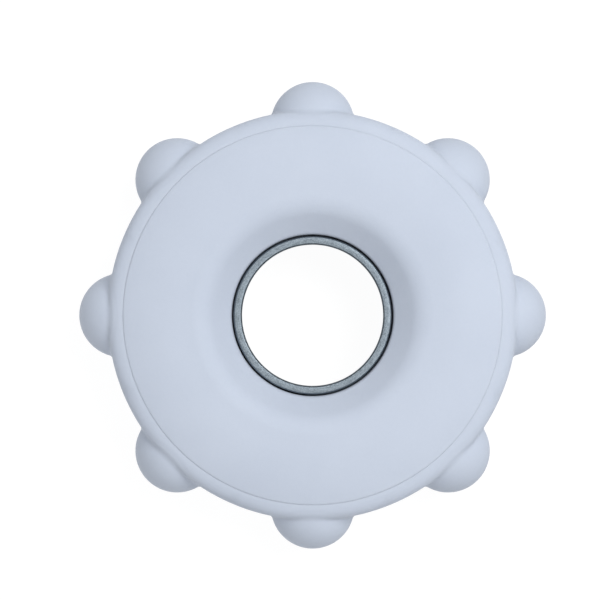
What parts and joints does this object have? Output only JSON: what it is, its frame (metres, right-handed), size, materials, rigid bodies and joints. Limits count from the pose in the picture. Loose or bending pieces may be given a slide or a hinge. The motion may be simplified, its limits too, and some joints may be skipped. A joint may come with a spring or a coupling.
{
  "type": "teething ring",
  "caption": "Soft teething ring with round massage nubs on its side wall and a metal sleeve that turns freely in its bore.",
  "frame": {"origin": "centre of the bore, halfway through the thickness of the ring", "axes": "+Z along the bore, out of the front face; +X through the middle of one nub"},
  "size_m": [0.0728, 0.0728, 0.019],
  "materials": {
    "silicone": "matte soft-touch silicone, pale blue-grey",
    "core_plastic": "moulded satin",
    "sleeve_steel": "turned satin end faces, brushed bore",
    "spring_steel": "plain spring steel",
    "seal_silicone": "smooth moulded"
  },
  "bodies": {
    "ring": {"nub_band": "silicone", "front_face": "silicone", "rear_face": "silicone", "front_core": "core_plastic", "rear_core": "core_plastic", "front_seal": "seal_silicone", "rear_seal": "seal_silicone"},
    "sleeve": {"bore_sleeve": "sleeve_steel", "snap_ring": "spring_steel"}
  },
  "joints": [
    {"name": "sleeve_spin", "type": "hinge", "parent": "ring", "child": "sleeve", "pos_m": [0, 0, 0], "axis": [0, 0, 1], "continuous": true}
  ]
}
